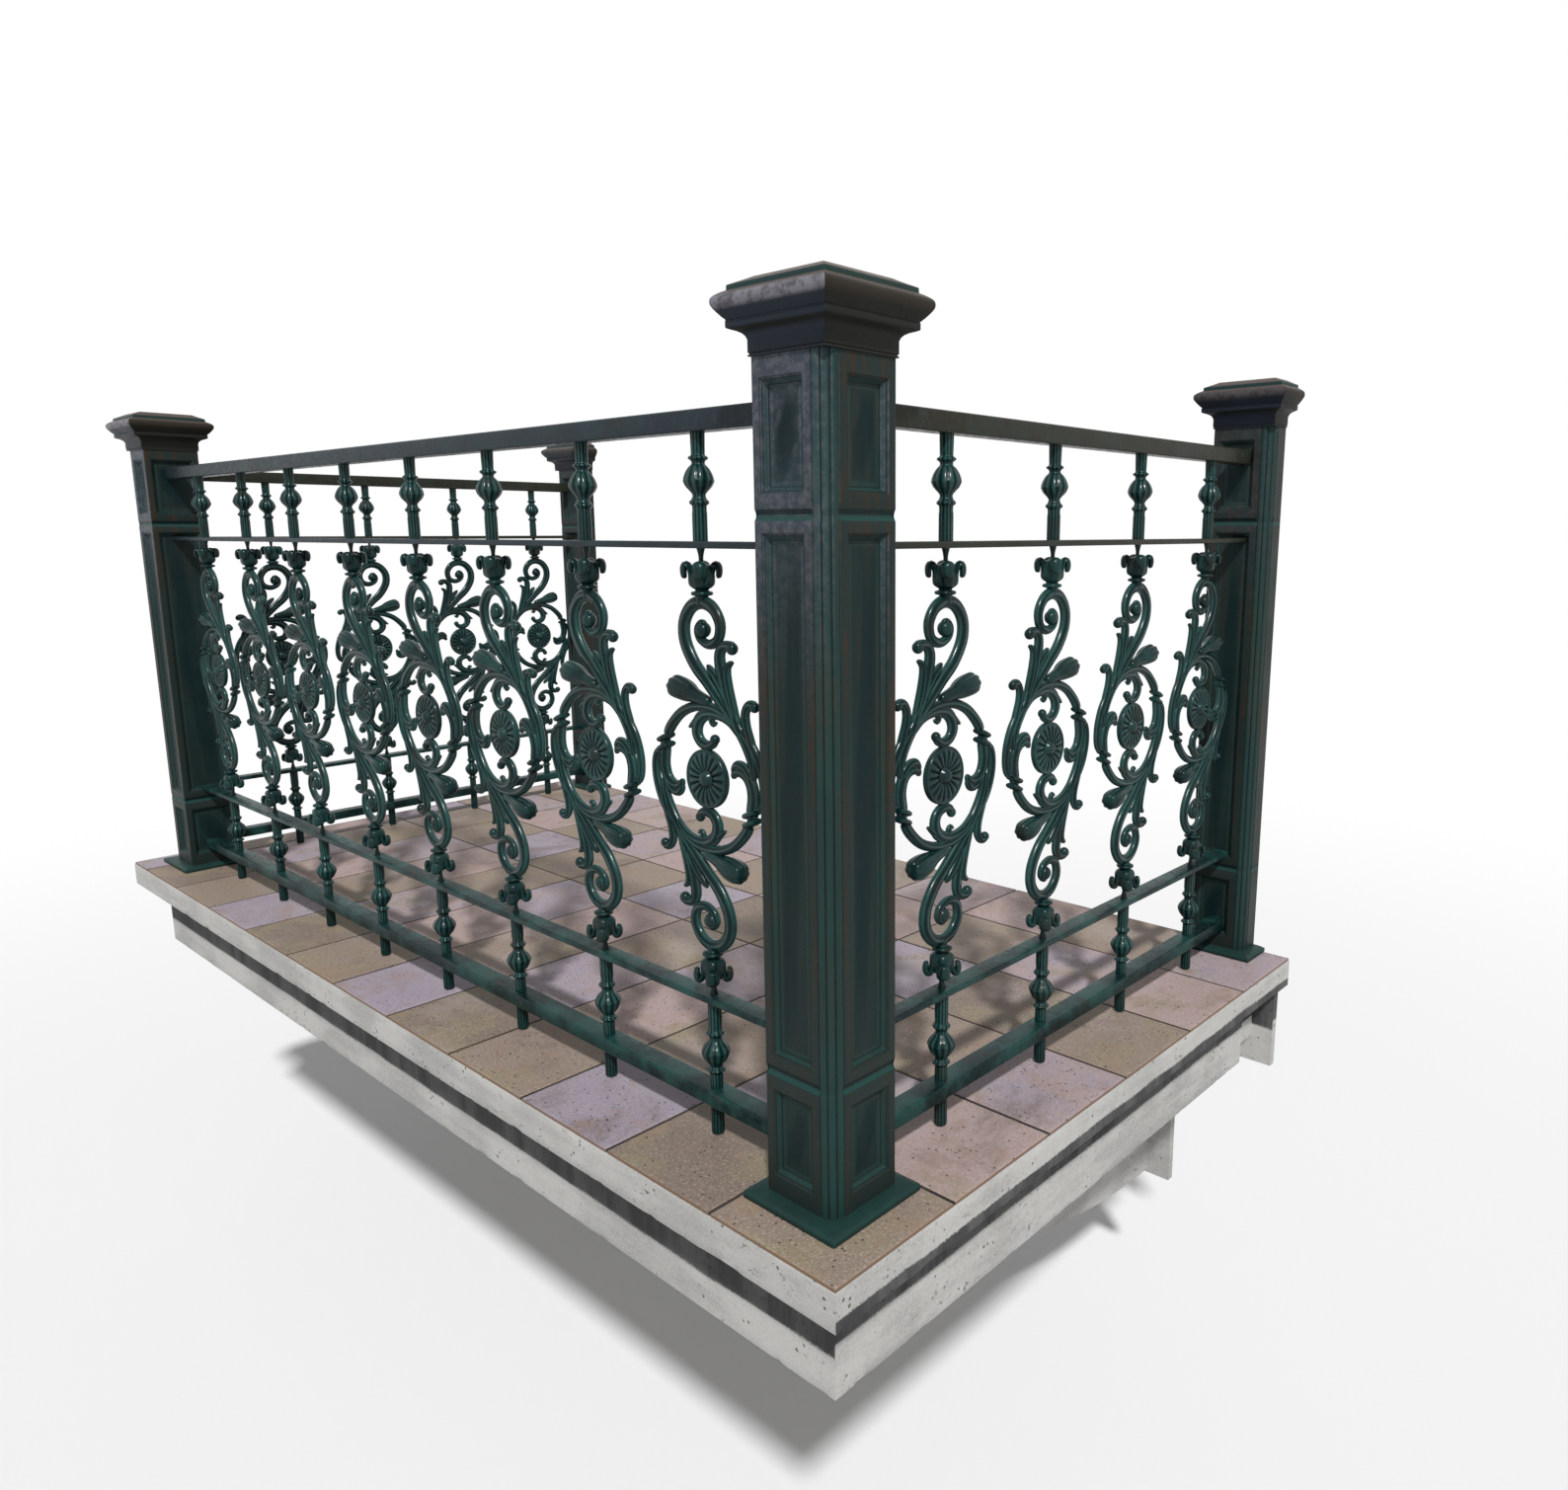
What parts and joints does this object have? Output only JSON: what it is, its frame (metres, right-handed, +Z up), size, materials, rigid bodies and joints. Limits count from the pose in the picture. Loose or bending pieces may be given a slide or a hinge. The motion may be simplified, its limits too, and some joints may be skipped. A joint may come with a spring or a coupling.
{
  "type": "balcony",
  "caption": "Projecting balcony: a tiled concrete slab on beams and curved wall brackets, railed on three sides with scrolled cast-iron balusters between panelled square posts.",
  "frame": {"origin": "centre of the slab's back face, on the wall's surface", "axes": "+X along the wall to the right seen from outside, +Y into the wall, +Z up; the balcony projects to -Y"},
  "size_m": [2.864, 1.5, 1.9325],
  "materials": {
    "concrete": "fair-faced, weathered light grey concrete",
    "floor_tiles": "unglazed speckled red-brown floor tile with dark joints",
    "post_iron": "dark green gloss paint on castings",
    "rail_iron": "dark green gloss paint on flat bar",
    "baluster_iron": "dark green gloss paint on castings"
  },
  "bodies": {
    "root": {"slab": "concrete", "tile_floor": "floor_tiles", "front_edge_beam": "concrete", "right_edge_beam": "concrete", "left_edge_beam": "concrete", "edge_brackets": "concrete", "inner_bracket_right": "concrete", "inner_bracket_left": "concrete", "post_base_plates": "post_iron", "corner_post_right": "post_iron", "corner_post_left": "post_iron", "wall_post_right": "post_iron", "wall_post_left": "post_iron", "corner_cap_right": "post_iron", "corner_cap_left": "post_iron", "wall_cap_right": "post_iron", "wall_cap_left": "post_iron", "handrail_front": "rail_iron", "handrail_right": "rail_iron", "handrail_left": "rail_iron", "second_rails": "rail_iron", "third_rails": "rail_iron", "bottom_rails": "rail_iron", "front_baluster_1": "baluster_iron", "front_baluster_2": "baluster_iron", "front_baluster_3": "baluster_iron", "front_baluster_4": "baluster_iron", "front_baluster_5": "baluster_iron", "front_baluster_6": "baluster_iron", "front_baluster_7": "baluster_iron", "front_baluster_8": "baluster_iron", "right_baluster_1": "baluster_iron", "right_baluster_2": "baluster_iron", "right_baluster_3": "baluster_iron", "right_baluster_4": "baluster_iron", "left_baluster_1": "baluster_iron", "left_baluster_2": "baluster_iron", "left_baluster_3": "baluster_iron", "left_baluster_4": "baluster_iron"}
  },
  "joints": []
}
